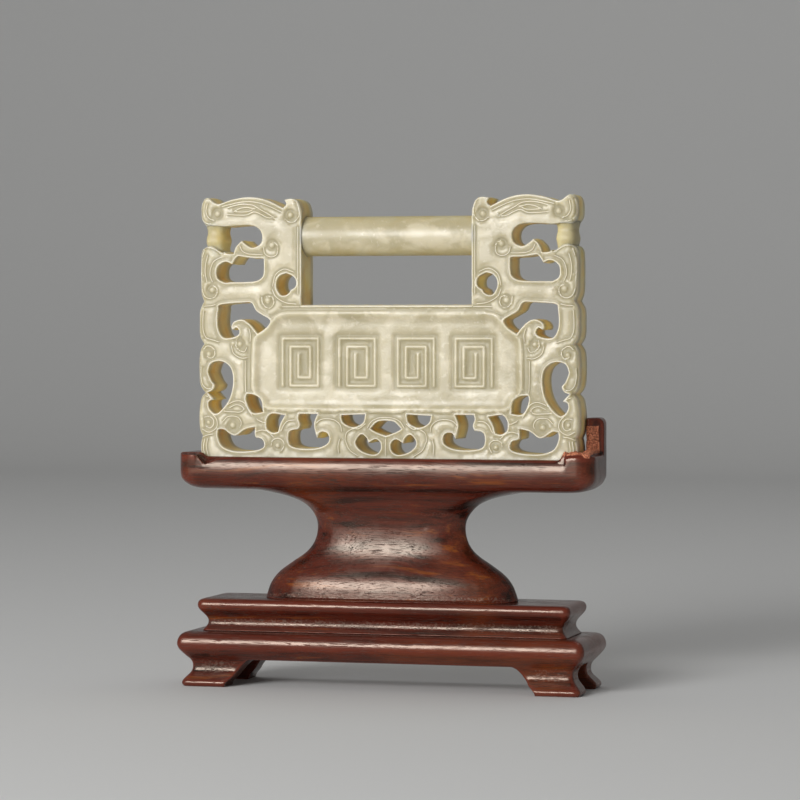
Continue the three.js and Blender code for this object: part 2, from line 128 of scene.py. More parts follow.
def filed_outline(outline, step, corner=48):
    """A sawn outline with its facets filed into one flow, and its sharp corners left."""
    back = outline - np.roll(outline, 1, axis=0)
    ahead = np.roll(outline, -1, axis=0) - outline
    cross = back[:, 0] * ahead[:, 1] - back[:, 1] * ahead[:, 0]
    turn = np.degrees(np.abs(np.arctan2(cross, (back * ahead).sum(axis=1))))
    corners = np.flatnonzero(turn > corner)
    if len(corners) == 0:
        corners = np.array([0])
    runs = []
    for start, stop in zip(corners, np.roll(corners, -1)):
        span = (stop - start) % len(outline) or len(outline)
        run = outline[(start + np.arange(span + 1)) % len(outline)]
        runs.append(flowing_line(run, step)[:-1])
    return np.vstack(runs)


def within(points, outline):
    """Which of the points lie inside a closed outline."""
    inside = np.zeros(len(points), bool)
    low, high = outline.min(axis=0), outline.max(axis=0)
    near = np.flatnonzero(((points > low) & (points < high)).all(axis=1))
    x, z = points[near, 0][:, None], points[near, 1][:, None]
    x0, z0 = outline.T
    x1, z1 = np.roll(outline, -1, axis=0).T
    for part in np.array_split(np.arange(len(near)), max(1, len(near) // 4000)):
        crosses = (z0 > z[part]) != (z1 > z[part])
        rise = np.where(z1 == z0, 1, z1 - z0)
        left = x[part] < (x1 - x0) * (z[part] - z0) / rise + x0
        inside[near[part]] = (crosses & left).sum(axis=1) % 2 == 1
    return inside


sawn = sawn_outlines("jade_plaque", -4.05)
# The second widest outline is the sunken panel's edge, which is carved further down.
outlines = [filed_outline(outline, saw_step) for outline in sawn[:1] + sawn[2:]]
silhouette, openings = outlines[0], outlines[1:]


def in_stone(points):
    """Which of the points lie on the slab and in none of its openings."""
    stone = within(points, silhouette)
    for opening in openings:
        stone &= ~within(points, opening)
    return stone


# Jade plaque: the drawing of its low relief
# Fine raised lines left standing between ground-down hollows, and small round pearls left in drilled
# rings. The right half mirrors the left. The cartouche holds four plain squared spirals.
left_lines = [
    # Animal head on the top corner, with its curl, brow, long eye and crest.
    [(-37.3, 94.4), (-37.7, 93), (-37.6, 91.5), (-36.8, 90.5), (-35.6, 90.2)],
    [(-36.3, 94), (-36.5, 92.4), (-35.9, 91.3), (-34.9, 90.9)],
    [(-33.2, 93.6), (-31.5, 94.0), (-28.5, 94.5), (-25.5, 94.2), (-23, 93.3), (-21.3, 92.5)],
    [(-31.9, 93.4), (-30.5, 93.8), (-28.3, 94.0), (-26.9, 93.8), (-25.5, 93), (-24, 92.2), (-22.8, 91.5)],
    [(-30.8, 92.6), (-29.5, 93.2), (-28.2, 93.4), (-26.6, 93.1)],
    [(-30.8, 92.6), (-29, 92.5), (-27.5, 92.65), (-26.6, 93.1)],
    [(-31.8, 92.0), (-30, 91.9), (-28, 91.95), (-26.6, 92.5), (-25.4, 92.1), (-24, 91.4), (-22.5, 91.2)],
    [(-18.0, 94.4), (-17.5, 93), (-17.6, 91.5), (-18.3, 90.6), (-19.6, 90.5), (-20.3, 91.0)],
    # Upright beside the window, and the tongue below the head.
    [(-17.75, 89.4), (-17.75, 86), (-17.75, 81), (-17.75, 76.6)],
    [(-24.7, 85.3), (-24.5, 84.4), (-23.3, 83.7), (-22.1, 84.1), (-21.8, 85.2), (-22.1, 86.2),
     (-22.8, 86.6)],
    [(-29.6, 85.9), (-29.1, 84.9), (-28.2, 84.4), (-26.5, 84.2), (-24.9, 84.2)],
    # Scroll beside the middle openings.
    [(-36.9, 85), (-37.4, 83.5), (-37.6, 81.5), (-37.5, 79), (-37.3, 77), (-36.8, 76.0), (-35.9, 75.6),
     (-34.9, 75.8), (-34.3, 76.7), (-34.4, 77.7), (-35.2, 78.1)],
    [(-36.2, 84), (-36.6, 82.5), (-36.7, 80.5), (-36.4, 79)],
    [(-33.6, 83.6), (-34.9, 82.9), (-35.6, 81.5), (-35.7, 80), (-35.2, 78.8)],
    [(-36.4, 85.6), (-35.4, 85.5), (-34.5, 85.1), (-33.7, 84.5)],
    [(-25.1, 75.7), (-24.8, 74.4), (-23.7, 73.7), (-22.8, 74.3), (-22.7, 75.4), (-23.3, 76.0),
     (-24.1, 75.9)],
    [(-22.9, 78), (-22.2, 80.3), (-20.5, 81.3), (-18.6, 80.7)],
    [(-22.9, 77.2), (-22.3, 76), (-21.2, 75.2), (-20, 74.7), (-18.3, 74.5)],
    # Side lobe and the scrolls beside the cartouche.
    [(-36.9, 74.1), (-35.5, 74.2), (-34.7, 74.4)],
    [(-37.1, 73), (-37.2, 71), (-37.0, 68.8), (-36.5, 67.9), (-35.2, 67.5), (-34, 67.1)],
    [(-37.1, 65.7), (-36.4, 66.3), (-35.4, 66.1), (-34.8, 65.3), (-35, 64.2), (-35.7, 63.9),
     (-36.4, 64.3)],
    [(-30.3, 67.4), (-30.4, 66.3), (-29.6, 65.4), (-28.6, 65.2), (-28.2, 66.0)],
    [(-31.3, 66.2), (-30.9, 64.9), (-30, 64.2), (-29, 63.9), (-28.3, 64)],
    [(-27.5, 67.2), (-27.4, 68.4), (-27.7, 69.6)],
    [(-28.5, 63.4), (-28.5, 60), (-28.4, 57.4)],
    [(-37.6, 62), (-37.6, 60), (-37.2, 58.6), (-36.2, 57.9), (-35.4, 58.1), (-35.1, 58.7)],
    [(-31.2, 60.8), (-31.3, 58.6), (-31.8, 56.8)],
    # Lower head with brow, eye and curled lip, and the ribbed foot below it.
    [(-32.0, 54.9), (-31.2, 55.3), (-30, 55.6), (-28.9, 55.3), (-28.2, 54.4), (-27.5, 53.2), (-27.2, 52.8)],
    [(-31.6, 54.3), (-30.4, 54.8), (-29.2, 54.5), (-28.7, 54.0)],
    [(-32.6, 53.5), (-30.8, 53.4), (-29.2, 53.5), (-28.7, 54.0)],
    [(-26, 51.9), (-24.8, 51.4), (-24.3, 51.4)],
    [(-35.2, 52.9), (-34.4, 51.9), (-34.3, 50.6), (-35.1, 49.7), (-36.2, 49.4), (-37.2, 49.9)],
    [(-36.9, 52.3), (-36, 52.5), (-35.1, 51.9), (-35.1, 50.8), (-35.8, 50.2), (-36.6, 50.5)],
    [(-33.0, 51.6), (-32.2, 52.4), (-31, 52.6), (-29.8, 52.2), (-29.3, 51.2), (-29.6, 50.3)],
    [(-37.4, 48.4), (-36.4, 48.8), (-35.3, 49.0)],
    [(-37.5, 48), (-37.7, 46.5), (-37.4, 44.6)],
    [(-36.9, 48), (-37.1, 46.5), (-36.8, 44.6)],
    [(-36.3, 48), (-36.5, 46.5), (-36.1, 44.6)],
    [(-36.6, 56.5), (-36.0, 56.3), (-35.4, 55.8)],
    [(-26.2, 49.6), (-25, 49.9), (-23.9, 49.5), (-22.9, 48.7)],
    [(-23.2, 46.9), (-22.9, 47.9), (-21.9, 48.3), (-20.9, 47.9), (-20.6, 46.9), (-21.1, 45.9)],
    [(-21.1, 49.9), (-20.5, 51.1), (-19.8, 51.7), (-18.6, 51.9)],
    # Lower band: two arches and the cloud head in the middle.
    [(-14.2, 51.1), (-13.5, 51.8), (-11.7, 52.2), (-10, 51.8), (-9.1, 50.9), (-8.9, 49.8)],
    [(-9.3, 48.2), (-9.6, 46.9), (-9.5, 45.6)],
    [(-8.2, 48.2), (-7.9, 49.5), (-6.8, 50.2), (-5.4, 50.3), (-4.2, 51.2)],
    [(-3.7, 50.5), (-2.9, 51.7), (-1.5, 52.4), (0, 52.55)],
    [(-8.1, 47.9), (-7.3, 46.2), (-5.7, 45.1)],
    [(0, 45.4), (0, 47), (0, 48.6)],
    # Two steps over the cartouche.
    [(-20.9, 73.95), (-15, 73.95), (-8, 73.95), (0, 73.95)],
]
left_pearls = [
    (-34.2, 92.2, 0.62),
    (-19.3, 91.8, 0.66),
    (-23.0, 86.0, 0.62),
    (-35.3, 77.3, 0.66),
    (-23.9, 75.2, 0.66),
    (-36.0, 64.7, 0.55),
    (-29.6, 66.7, 0.55),
    (-31.1, 50.8, 0.62),
    (-36.1, 51.3, 0.4),
    (-21.9, 46.9, 0.5),
]
left_cartouche = [
    (0, 72.75), (-19.8, 72.7), (-21.4, 72.4), (-22.6, 71.8), (-23.3, 71.0), (-23.8, 70.1), (-24.8, 69.2),
    (-26, 68.5), (-26.5, 68.0), (-26.75, 66.9), (-26.9, 64), (-26.95, 60), (-26.9, 57.3), (-26.3, 56.5),
    (-25.2, 55.8), (-24.8, 54.7), (-24.2, 54.1), (-23, 53.8), (0, 53.75),
]
fret_centres = [(-17.4, 63.2), (-5.9, 63.2), (5.9, 63.2), (17.4, 63.2)]
fret_half_width = 3.6
fret_half_height = 4.6
fret_pitch = 1.6
carving_sizes = {
    "Half Thickness": half_thickness,
    "Edge Round": 0.2,
    "Side Round Width": 0.6,
    "Side Round Depth": 1.05,
    "Rim Groove": 0.24,
    "Line Groove": 0.28,
    "Line Width": 0.19,
    "Pearl Hollow": 0.3,
    "Cartouche Depth": 0.5,
    "Unevenness": 0.15,
}


def mirrored(line):
    """The same line on the plaque's right half."""
    return [(-x, z) for x, z in line]


def squared_spiral(centre, hand):
    """A generic key fret: one line that turns inwards at right angles, as x and z."""
    x, z = -fret_half_width, -fret_half_height
    corners = [(x, z)]
    for leg in range(9):
        side = fret_half_width if leg % 2 else fret_half_height
        length = 2 * side - fret_pitch * max(0, (leg - 1) // 2)
        dx, dz = ((0, 1), (1, 0), (0, -1), (-1, 0))[leg % 4]
        x, z = x + dx * length, z + dz * length
        corners.append((x, z))
    return [(centre[0] + hand * x, centre[1] + z) for x, z in corners]


raised_lines = [flowing_line(line, 0.34) for line in left_lines + [mirrored(line) for line in left_lines]]
pearls = left_pearls + [(-x, z, radius) for x, z, radius in left_pearls]
cartouche = np.array(left_cartouche + mirrored(left_cartouche)[-2:0:-1])
frets = [squared_spiral(centre, 1 if centre[0] < 0 else -1) for centre in fret_centres]

# Jade plaque: carving both faces
# The slab's face is laid out flat as fine triangles, close together wherever a line, pearl or edge will
# be cut. A Geometry Nodes tree then grinds the relief into it by distance from the drawn lines.


def sideways(line, closed):
    """The direction to the left of a line at each of its points."""
    along = np.roll(line, -1, axis=0) - np.roll(line, 1, axis=0) if closed else np.gradient(line, axis=0)
    across = np.column_stack([-along[:, 1], along[:, 0]])
    return across / (np.linalg.norm(across, axis=1)[:, None] + 1e-9)


def beside(line, distances, closed=False):
    """Points at each distance to the side of a line."""
    across = sideways(line, closed)
    return np.vstack([line + across * distance for distance in distances])


def evenly(corners, step):
    """Points every step or so along straight legs."""
    points = []
    for a, b in zip(corners[:-1], corners[1:]):
        count = max(1, round(math.dist(a, b) / step))
        points += [(a[0] + (b[0] - a[0]) * i / count, a[1] + (b[1] - a[1]) * i / count) for i in range(count)]
    return np.array(points + [corners[-1]])


def thinned(points, spacing, taken):
    """The points that stand at least a spacing from all those taken before, which are added to them."""
    kept = []
    for x, z in points:
        cell = (int(x // 0.5), int(z // 0.5))
        near = (p for i in (-1, 0, 1) for j in (-1, 0, 1) for p in taken.get((cell[0] + i, cell[1] + j), ()))
        if all((x - u) ** 2 + (z - v) ** 2 > spacing**2 for u, v in near):
            taken.setdefault(cell, []).append((x, z))
            kept.append((x, z))
    return kept


def face_layout():
    """Points and triangles of the slab's face. The outlines' points come first."""
    outline_points = np.vstack(outlines)
    rims, start = [], 0
    for outline in outlines:
        ring = start + np.arange(len(outline))
        rims += list(zip(ring.tolist(), np.roll(ring, -1).tolist()))
        start += len(outline)
    groups = [
        (np.vstack([beside(o, (-0.06, -0.2, -0.34, 0.06, 0.2, 0.34), True) for o in outlines]), 0.05),
        (np.vstack([beside(line, (0, -0.12, 0.12, -0.25, 0.25)) for line in raised_lines]), 0.1),
        (np.vstack([beside(evenly(fret, 0.3), (0, -0.17, 0.17, -0.38, 0.38)) for fret in frets]), 0.13),
        (beside(evenly(cartouche, 0.34), (0, 0.15, 0.32, 0.6, 0.95, 1.4, -0.25, -0.5, -0.8)), 0.14),
        (np.vstack([beside(o, (-0.5, -0.78, 0.5, 0.78), True) for o in outlines]), 0.22),
        (np.vstack([beside(line, (-0.45, 0.45, -0.72, 0.72)) for line in raised_lines]), 0.24),
    ]
    for x, z in fret_centres:
        for margin in (0.35, 0.7, 1.05, 1.5):
            wide, high = fret_half_width + margin, fret_half_height + margin
            corners = [(x - wide, z - high), (x + wide, z - high), (x + wide, z + high), (x - wide, z + high)]
            groups.append((evenly(corners + corners[:1], 0.4), 0.2))
    for x, z, radius in pearls:
        rings = [(x, z)]
        reaches = [share * radius for share in (0.35, 0.7, 0.9, 1)]
        for reach in reaches + [radius + 0.2, radius + 0.5, radius + 0.9]:
            count = round(2 * math.pi * reach / 0.24)
            angles = [2 * math.pi * i / count for i in range(count)]
            rings += [(x + reach * math.cos(a), z + reach * math.sin(a)) for a in angles]
        groups.insert(1, (np.array(rings), 0.1))
    grid = np.stack(np.meshgrid(np.arange(-38, 38.01, 0.72), np.arange(foot_z, 96, 0.72)), -1).reshape(-1, 2)
    sown = Random(3)
    grid += np.array([(sown.uniform(-0.12, 0.12), sown.uniform(-0.12, 0.12)) for _ in grid])
    groups.append((grid, 0.45))
    taken = {}
    thinned(outline_points, 0, taken)
    inner = []
    for points, spacing in groups:
        inner += thinned(points[in_stone(points)], spacing, taken)
    everything = [Vector(p) for p in outline_points.tolist() + inner]
    made = delaunay_2d_cdt(everything, rims, [], 0, 1e-6)
    points = np.array([tuple(p) for p in made[0]])
    triangles = np.array([t for t in made[2] if len(t) == 3])
    stone = in_stone(points[triangles].mean(axis=1))
    a, b, c = (points[triangles[:, k]] for k in range(3))
    area = np.abs((b - a)[:, 0] * (c - a)[:, 1] - (b - a)[:, 1] * (c - a)[:, 0]) / 2
    slivers = (triangles < len(outline_points)).all(axis=1) & (area < 0.004)
    return points, triangles[stone & ~slivers]


def points_of(mesh):
    """A mesh's points in mm, as rows of x, y and z."""
    points = np.empty(len(mesh.vertices) * 3)
    mesh.vertices.foreach_get("co", points)
    return points.reshape(-1, 3) / mm


def mark_points(mesh, name, values):
    """Keeps a value on each of a mesh's points."""
    mark = mesh.attributes.new(name, "FLOAT", "POINT")
    mark.data.foreach_set("value", np.asarray(values, np.float32))


def drawn_object(name, lines, closed=False, sizes=None):
    """Lines or single points of the drawing as a helper mesh that the carving tree measures from."""
    points, edges = [], []
    for line in lines:
        start = len(points)
        points += [(x * mm, 0, z * mm) for x, z in line]
        edges += [(i, i + 1) for i in range(start, len(points) - 1)]
        if closed:
            edges.append((len(points) - 1, start))
    mesh = bpy.data.meshes.new(name)
    mesh.from_pydata(points, edges, [])
    if sizes is not None:
        mark_points(mesh, "radius", sizes)
    return placed(name, mesh)


def fed(tree, node, inputs):
    """The node with its inputs set. An input that is another node's socket is linked."""
    for key, value in inputs.items():
        if isinstance(value, bpy.types.NodeSocket):
            tree.links.new(value, node.inputs[key])
        else:
            node.inputs[key].default_value = value
    return node


def node_of(tree, kind, inputs, **settings):
    """A new node with its settings and inputs."""
    node = tree.nodes.new(kind)
    for name, value in settings.items():
        setattr(node, name, value)
    return fed(tree, node, inputs)


def reckoned(tree, operation, *values):
    """A sum, product or other result of a Math node."""
    return node_of(tree, "ShaderNodeMath", dict(enumerate(values)), operation=operation).outputs[0]


def vector_of(tree, operation, first, second):
    """A result of a Vector Math node."""
    inputs = {0: first, "Scale" if operation == "SCALE" else 1: second}
    result = node_of(tree, "ShaderNodeVectorMath", inputs, operation=operation).outputs
    return result["Value" if operation == "DOT_PRODUCT" else "Vector"]


def noise(tree, place, scale, detail=3.0, distortion=0.0, **others):
    """Noise from 0 to 1. With W among the others it is that slice of 4D noise."""
    inputs = {"Vector": place, "Scale": scale, "Detail": detail, "Distortion": distortion, **others}
    dimensions = "4D" if "W" in others else "3D"
    return node_of(tree, "ShaderNodeTexNoise", inputs, noise_dimensions=dimensions).outputs["Fac"]


def ranged(tree, value, low, high, to_low=0.0, to_high=1.0):
    """A value taken smoothly from one range to another."""
    inputs = {"Value": value, "From Min": low, "From Max": high, "To Min": to_low, "To Max": to_high}
    return node_of(tree, "ShaderNodeMapRange", inputs, interpolation_type="SMOOTHSTEP").outputs["Result"]


def tree_with(name, kind, asked, given_back):
    """A node tree with named inputs and outputs, with its input sockets and its output sockets."""
    tree = bpy.data.node_groups.new(name, kind)
    for in_out, sockets in (("INPUT", asked), ("OUTPUT", given_back)):
        for socket_type, names in sockets.items():
            for socket_name in names:
                tree.interface.new_socket(socket_name, in_out=in_out, socket_type="NodeSocket" + socket_type)
    return tree, tree.nodes.new("NodeGroupInput").outputs, tree.nodes.new("NodeGroupOutput").inputs


def worked_shape(tree, shape, marks, placing, material):
    """The end of a tree: marks kept on the points, the points moved, and the material set."""
    for name, value in marks.items():
        inputs = {"Geometry": shape, "Name": name, "Value": value}
        store = node_of(tree, "GeometryNodeStoreNamedAttribute", inputs, data_type="FLOAT", domain="POINT")
        shape = store.outputs[0]
    shape = node_of(tree, "GeometryNodeSetPosition", {"Geometry": shape, **placing}).outputs[0]
    shape = node_of(tree, "GeometryNodeRealizeInstances", {"Geometry": shape}).outputs[0]
    return node_of(tree, "GeometryNodeSetMaterial", {"Geometry": shape, "Material": material}).outputs[0]


def carving_tree():
    """The tree that grinds relief into a flat face by distance from outlines, lines, pearls and frets."""
    floats = ("Facing", "Fret Depth", "Seed", *carving_sizes)
    asked = {"Geometry": ("Face",), "Object": drawings, "Float": floats, "Material": ("Stone",)}
    tree, given, result = tree_with("stone_carving", "GeometryNodeTree", asked, {"Geometry": ("Carved",)})
    node, math_of, ramp = (partial(helper, tree) for helper in (node_of, reckoned, ranged))

    def off(value):
        return math_of("SUBTRACT", 1, value)

    def product(first, *others):
        for other in others:
            first = math_of("MULTIPLY", first, other)
        return first

    def geometry_of(name):
        return node("GeometryNodeObjectInfo", {"Object": given[name]}).outputs["Geometry"]

    def distance_to(name, kind="EDGES"):
        near = node("GeometryNodeProximity", {0: geometry_of(name)}, target_element=kind)
        return near.outputs["Distance"], near.outputs["Position"]

    def attribute(name):
        return node("GeometryNodeInputNamedAttribute", {"Name": name}, data_type="FLOAT").outputs["Attribute"]

    def largest(first, *others):
        for other in others:
            first = math_of("MAXIMUM", first, other)
        return first

    place = node("GeometryNodeInputPosition", {}).outputs[0]
    parts = node("ShaderNodeSeparateXYZ", {0: place}).outputs
    to_opening = distance_to("Openings")[0]
    to_side = distance_to("Silhouette")[0]
    to_edge = math_of("MINIMUM", to_opening, to_side)
    to_line = distance_to("Lines")[0]
    to_pearl = distance_to("Pearls", "POINTS")[0]
    to_cartouche = distance_to("Cartouche")[0]
    to_fret = distance_to("Frets")[0]
    inside = attribute("in_cartouche")
    outside = off(inside)

    centres = geometry_of("Pearls")
    nearest = node("GeometryNodeSampleNearest", {"Geometry": centres}, domain="POINT").outputs["Index"]
    inputs = {"Geometry": centres, "Value": attribute("radius"), "Index": nearest}
    radius = node("GeometryNodeSampleIndex", inputs, data_type="FLOAT", domain="POINT").outputs["Value"]

    # Edges drop as a quarter round. At the plaque's two ends the round is wider and deeper.
    at_end = ramp(math_of("ABSOLUTE", parts["X"]), 35.5 * mm, 37.2 * mm)

    def rounded_off(distance, width, depth):
        lean = off(math_of("MINIMUM", math_of("DIVIDE", distance, width), 1))
        arc = off(math_of("SQRT", math_of("MAXIMUM", off(product(lean, lean)), 0)))
        return product(arc, depth)

    side_width = math_of("MULTIPLY_ADD", at_end, given["Side Round Width"], given["Edge Round"])
    side_depth = math_of("MULTIPLY_ADD", at_end, given["Side Round Depth"], given["Edge Round"])
    edge_drop = largest(
        rounded_off(to_opening, given["Edge Round"], given["Edge Round"]),
        rounded_off(to_side, side_width, side_depth),
    )

    # Hollows: beside the openings' rims, along each line, round each pearl and outside the cartouche.
    rim_start, rim_end = ramp(to_opening, 0.2 * mm, 0.46 * mm), ramp(to_opening, 0.6 * mm, 1.2 * mm)
    rim_band = product(rim_start, off(rim_end))
    line_reach = product(given["Line Width"], 3.4)
    line_band = off(ramp(to_line, given["Line Width"], line_reach))
    pearl_inner = math_of("ADD", radius, 0.25 * mm)
    pearl_outer = math_of("ADD", radius, 0.95 * mm)
    pearl_band = off(ramp(to_pearl, pearl_inner, pearl_outer))
    frame_start, frame_end = ramp(to_cartouche, 0.25 * mm, 0.5 * mm), ramp(to_cartouche, 0.6 * mm, 1.1 * mm)
    frame_band = product(frame_start, off(frame_end))
    hollow = largest(
        product(rim_band, given["Rim Groove"]),
        product(line_band, given["Line Groove"]),
        product(pearl_band, given["Pearl Hollow"]),
        product(frame_band, given["Rim Groove"]),
    )
    hollow = product(hollow, outside)

    # What stays standing in the hollows: the lines, the pearls' domes and the openings' rims.
    line_crest = off(ramp(to_line, 0, given["Line Width"]))
    spread = math_of("DIVIDE", to_pearl, radius)
    dome = math_of("SQRT", math_of("MAXIMUM", off(product(spread, spread)), 0))
    rim_crest = off(ramp(to_opening, 0.18 * mm, 0.42 * mm))
    standing = largest(line_crest, dome, rim_crest)
    # Painted highlight: crests, the pearls' domes at half strength and the openings' rims, to be coloured
    # pale where light catches them.
    rubbed = largest(line_crest, product(dome, 0.5), rim_crest)
    relief = product(hollow, off(standing))

    # The cartouche is sunk inside its rim. Where frets are cut, each has a shallow scooped field.
    sunk = product(ramp(to_cartouche, 0.22 * mm, 1.5 * mm), inside, given["Cartouche Depth"])
    centre = distance_to("Fret Centres", "POINTS")[1]
    sides = node("ShaderNodeSeparateXYZ", {0: vector_of(tree, "SUBTRACT", place, centre)}).outputs
    field = product(inside, math_of("GREATER_THAN", given["Fret Depth"], 0))
    for name, half in (("X", fret_half_width), ("Z", fret_half_height)):
        beyond = ramp(math_of("ABSOLUTE", sides[name]), (half + 0.35) * mm, (half + 1.5) * mm)
        field = product(field, off(beyond))
    fret_crest = off(ramp(to_fret, 0.08 * mm, 0.46 * mm))
    around_fret = product(field, off(fret_crest))
    scooped = product(around_fret, given["Fret Depth"])

    # Hand polishing leaves the whole face a little uneven.
    wave = noise(tree, place, 260.0, 1.0, W=given["Seed"])
    uneven = product(math_of("SUBTRACT", wave, 0.5), given["Unevenness"])

    cut_away = math_of("ADD", math_of("ADD", relief, sunk), math_of("ADD", scooped, edge_drop))
    height = math_of("ADD", math_of("SUBTRACT", given["Half Thickness"], cut_away), uneven)
    depth = product(height, given["Facing"])
    moved = node("ShaderNodeCombineXYZ", {"X": parts["X"], "Y": depth, "Z": parts["Z"]}).outputs[0]

    # Two marks are kept for the finish: painted shade in the hollows, and painted highlight on edges, crests
    # and pearls.
    ground = math_of("DIVIDE", relief, given["Pearl Hollow"])
    hollow_shade_mark = math_of("MULTIPLY_ADD", around_fret, 0.7, ground)
    # Painted highlight: pale on crests, edges, frets and the cartouche's rim.
    edge_highlight_mark = largest(
        product(rubbed, ramp(hollow, 0.02 * mm, 0.12 * mm)),
        product(off(ramp(to_edge, 0.16 * mm, 0.42 * mm)), 0.85),
        product(fret_crest, field, 0.6),
        product(off(ramp(to_cartouche, 0.06 * mm, 0.26 * mm)), 0.7),
    )
    marks = {"hollow": hollow_shade_mark, "polished_edge": edge_highlight_mark}
    carved = worked_shape(tree, given["Face"], marks, {"Position": moved}, given["Stone"])
    tree.links.new(carved, result["Carved"])
    return tree


def tree_result(carrier, tree, values):
    """Runs a Geometry Nodes tree on an object with the given inputs, and gives the plain mesh."""
    modifier = carrier.modifiers.new("maker", "NODES")
    modifier.node_group = tree
    sockets = {s.name: s.identifier for s in tree.interface.items_tree if s.in_out == "INPUT"}
    for name, value in values.items():
        modifier[sockets[name]] = value
    carrier.update_tag()
    evaluated = carrier.evaluated_get(bpy.context.evaluated_depsgraph_get())
    mesh = bpy.data.meshes.new_from_object(evaluated)
    carrier.modifiers.remove(modifier)
    return mesh


# Jade plaque: faces, walls, round bar and struts in one stone
# The walls are sawn and left less polished than the faces. The bar and the short struts at the ends are
# left standing from the same stone, set back from its faces.
jade_finish = bpy.data.materials.new("polished_jade")
wall_rows = 8
bar_radius = 3.85
bar_z = foot_z + 44.7
window_half_width = 17.1
strut_half_length = 3.2
strut_half_width = 1.95
strut_half_depth = 3.4
strut_x = 35.2
strut_z = foot_z + 44.3

face_points, face_triangles = face_layout()
pearl_sizes = [pearl[2] * mm for pearl in pearls]
drawings = {
    "Openings": drawn_object("openings", openings, closed=True),
    "Silhouette": drawn_object("silhouette", [silhouette], closed=True),
    "Lines": drawn_object("lines", raised_lines),
    "Pearls": drawn_object("pearls", [[pearl[:2]] for pearl in pearls], sizes=pearl_sizes),
    "Cartouche": drawn_object("cartouche", [cartouche], closed=True),
    "Frets": drawn_object("frets", frets),
    "Fret Centres": drawn_object("fret_centres", [[centre] for centre in fret_centres]),
}
carving = carving_tree()


def carved_face(facing, fret_depth):
    """One carved face of the slab: its points in mm, and at each point its share of painted shade in the
    hollows and of painted highlight on edges.
    """
    flat = bpy.data.meshes.new("flat_face")
    flat.from_pydata([(x * mm, 0, z * mm) for x, z in face_points], [], face_triangles.tolist())
    mark_points(flat, "in_cartouche", within(face_points, cartouche))
    blank = placed("blank", flat)
    values = {name: size * mm for name, size in carving_sizes.items()}
    values |= {"Facing": facing, "Fret Depth": fret_depth * mm, "Seed": 4.0 + facing, "Stone": jade_finish}
    mesh = tree_result(blank, carving, drawings | values)
    points = points_of(mesh)
    marks = []
    for name in ("hollow", "polished_edge"):
        mark = np.empty(len(mesh.vertices), np.float32)
        mesh.attributes[name].data.foreach_get("value", mark)
        marks.append(mark)
    bpy.data.objects.remove(blank)
    bpy.data.meshes.remove(mesh)
    return points, *marks


def turned_bar(centre, half_length, axis, half_sizes, flare, lobes, squareness, ochre):
    """A closed bar with softly flared ends: its points, its faces and each point's painted-shade mark from
    the given function.
    """
    around, along = 56, 64
    points, faces, marks = [], [], []
    for i in range(along + 1):
        t = math.sin(math.pi / 2 * (2 * i / along - 1))
        swell = 1 + flare * math.exp(-half_length * (1 - abs(t)) / 0.35)
        swell += lobes * math.cos(2 * math.pi * t + 0.6)
        for j in range(around):
            angle = 2 * math.pi * j / around
            c, s = math.cos(angle), math.sin(angle)
            u = half_sizes[0] * swell * math.copysign(abs(c) ** squareness, c)
            v = half_sizes[1] * swell * math.copysign(abs(s) ** squareness, s)
            offset = [u, v]
            offset.insert(axis, t * half_length)
            points.append([centre[k] + offset[k] for k in range(3)])
            marks.append(ochre(c, s))
    for i in range(along):
        for j in range(around):
            a, b = i * around + j, i * around + (j + 1) % around
            faces.append((a, b, b + around, a + around))
    faces += [tuple(range(around)), tuple(range(along * around, (along + 1) * around))]
    return points, faces, marks


front, front_hollow_shade, front_edge_highlight = carved_face(-1.0, 0.28)
back, back_hollow_shade, back_edge_highlight = carved_face(1.0, 0.0)
count = len(face_points)
stone_points = [front, back]
stone_faces = face_triangles.tolist() + (face_triangles[:, ::-1] + count).tolist()
wall_ochre_and_bar_shade_marks = [np.zeros(2 * count)]

rows = np.linspace(0, 1, wall_rows + 2)[1:-1]
start, offset = 0, 2 * count
for outline in outlines:
    size = len(outline)
    ring = start + np.arange(size)
    # The silhouette's wall swells outwards. An opening's wall swells to the side that its line runs by.
    outward = -sideways(outline, True)
    if outline is silhouette and within(outline[:1] + 0.02 * outward[:1], silhouette)[0]:
        outward = -outward
    levels = [ring]
    for t in rows:
        wobble = 0.06 * np.sin(outline[:, 0] * 2.1 + 5 * t) * np.sin(outline[:, 1] * 1.7 - 4 * t)
        swell = (0.05 + wobble) * math.sin(math.pi * t)
        plan = outline + outward * swell[:, None]
        depth = front[ring, 1] + (back[ring, 1] - front[ring, 1]) * t
        stone_points.append(np.column_stack([plan[:, 0], depth, plan[:, 1]]))
        levels.append(offset + np.arange(size))
        wall_ochre_and_bar_shade_marks.append(np.full(size, min(1.0, 1.2 * math.sin(math.pi * t) ** 1.4)))
        offset += size
    levels.append(ring + count)
    for upper, lower in zip(levels[:-1], levels[1:]):
        quads = np.column_stack([upper, np.roll(upper, -1), np.roll(lower, -1), lower])
        stone_faces += quads.tolist()
    start += size

shaded = [np.zeros(offset - 2 * count)]
bar_ends = window_half_width + 0.3
# Painted shade on the bar's top and bottom and on the struts, strongest on the struts' inner sides: these
# marks colour them ochre and, scaled up as shaded, darker olive.
bar_top_and_bottom_shade = lambda c, s: 0.4 * abs(s) ** 3
extras = [turned_bar((0, 0, bar_z), bar_ends, 0, (bar_radius, bar_radius), 0.05, 0.0, 1, bar_top_and_bottom_shade)]
for side in (-1, 1):
    middle = (side * strut_x, 0, strut_z)
    half_sizes = (strut_half_width, strut_half_depth)
    strut_shade = lambda c, s, inward=-side: 0.25 + 0.6 * max(0, inward * c)
    extras.append(turned_bar(middle, strut_half_length, 2, half_sizes, 0.0, 0.06, 0.7, strut_shade))
for points, faces, marks in extras:
    stone_points.append(np.array(points))
    stone_faces += [tuple(i + offset for i in face) for face in faces]
    wall_ochre_and_bar_shade_marks.append(np.array(marks))
    shaded.append(np.array(marks) * 2.4)
    offset += len(points)

